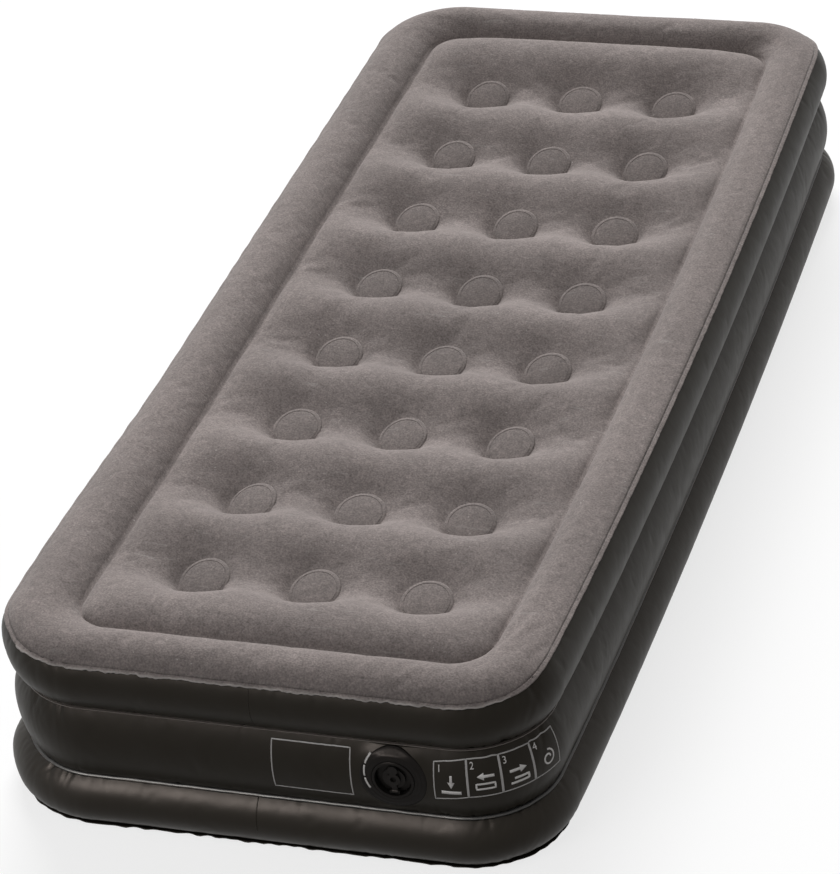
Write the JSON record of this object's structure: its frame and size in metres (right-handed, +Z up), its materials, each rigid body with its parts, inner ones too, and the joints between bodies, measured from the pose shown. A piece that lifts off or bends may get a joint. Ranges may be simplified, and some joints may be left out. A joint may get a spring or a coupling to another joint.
{
  "type": "air mattress",
  "caption": "Raised single air bed with a flocked, tufted top, drawn-in tiered sides, inner film ties and a screw-in inflation valve at the foot end.",
  "frame": {"origin": "on the floor, under the middle of the bed", "axes": "+Z up, +Y along the bed from the valve's end to the other end, +X across the bed"},
  "size_m": [0.8188, 2.0028, 0.3],
  "materials": {
    "flock": "short flock, matt",
    "side_film": "satin vinyl film",
    "tie_film": "plain vinyl film",
    "valve_plastic": "satin moulded",
    "cap_plastic": "satin moulded",
    "seal_rubber": "soft matt"
  },
  "bodies": {
    "bed": {"top_sheet": "flock", "upper_band": "side_film", "middle_band": "side_film", "lower_band": "side_film", "base_sheet": "side_film", "perimeter_beam": "tie_film", "upper_web": "tie_film", "lower_web": "tie_film", "coil_beam_1_1": "tie_film", "coil_beam_1_2": "tie_film", "coil_beam_1_3": "tie_film", "coil_beam_2_1": "tie_film", "coil_beam_2_2": "tie_film", "coil_beam_2_3": "tie_film", "coil_beam_3_1": "tie_film", "coil_beam_3_2": "tie_film", "coil_beam_3_3": "tie_film", "coil_beam_4_1": "tie_film", "coil_beam_4_2": "tie_film", "coil_beam_4_3": "tie_film", "coil_beam_5_1": "tie_film", "coil_beam_5_2": "tie_film", "coil_beam_5_3": "tie_film", "coil_beam_6_1": "tie_film", "coil_beam_6_2": "tie_film", "coil_beam_6_3": "tie_film", "coil_beam_7_1": "tie_film", "coil_beam_7_2": "tie_film", "coil_beam_7_3": "tie_film", "coil_beam_8_1": "tie_film", "coil_beam_8_2": "tie_film", "coil_beam_8_3": "tie_film", "valve_flange": "valve_plastic", "valve_socket": "valve_plastic"},
    "seal": {"mouth_seal": "seal_rubber"},
    "mouth": {"valve_mouth": "valve_plastic", "flap_cage": "valve_plastic"},
    "cap": {"valve_cap": "cap_plastic"},
    "flap": {"check_flap": "seal_rubber"}
  },
  "joints": [
    {"name": "mouth_travel", "type": "slide", "parent": "bed", "child": "seal", "axis": [0, -1, 0], "range_m": [0, 0.0061]},
    {"name": "mouth_turn", "type": "hinge", "parent": "seal", "child": "mouth", "pos_m": [0.187, -0.99303, 0.1455], "axis": [0, -1, 0], "range_deg": [0, 540]},
    {"name": "cap_flip", "type": "hinge", "parent": "mouth", "child": "cap", "pos_m": [0.187, -0.98833, 0.124], "axis": [1, 0, 0], "range_deg": [0, 105]},
    {"name": "flap_lift", "type": "slide", "parent": "mouth", "child": "flap", "axis": [0, 1, 0], "range_m": [0, 0.004], "stiffness_N_per_m": 20}
  ],
  "couplings": [
    {"joint": "mouth_travel", "follows": "mouth_turn", "m_per_rad": 0.00063662}
  ]
}
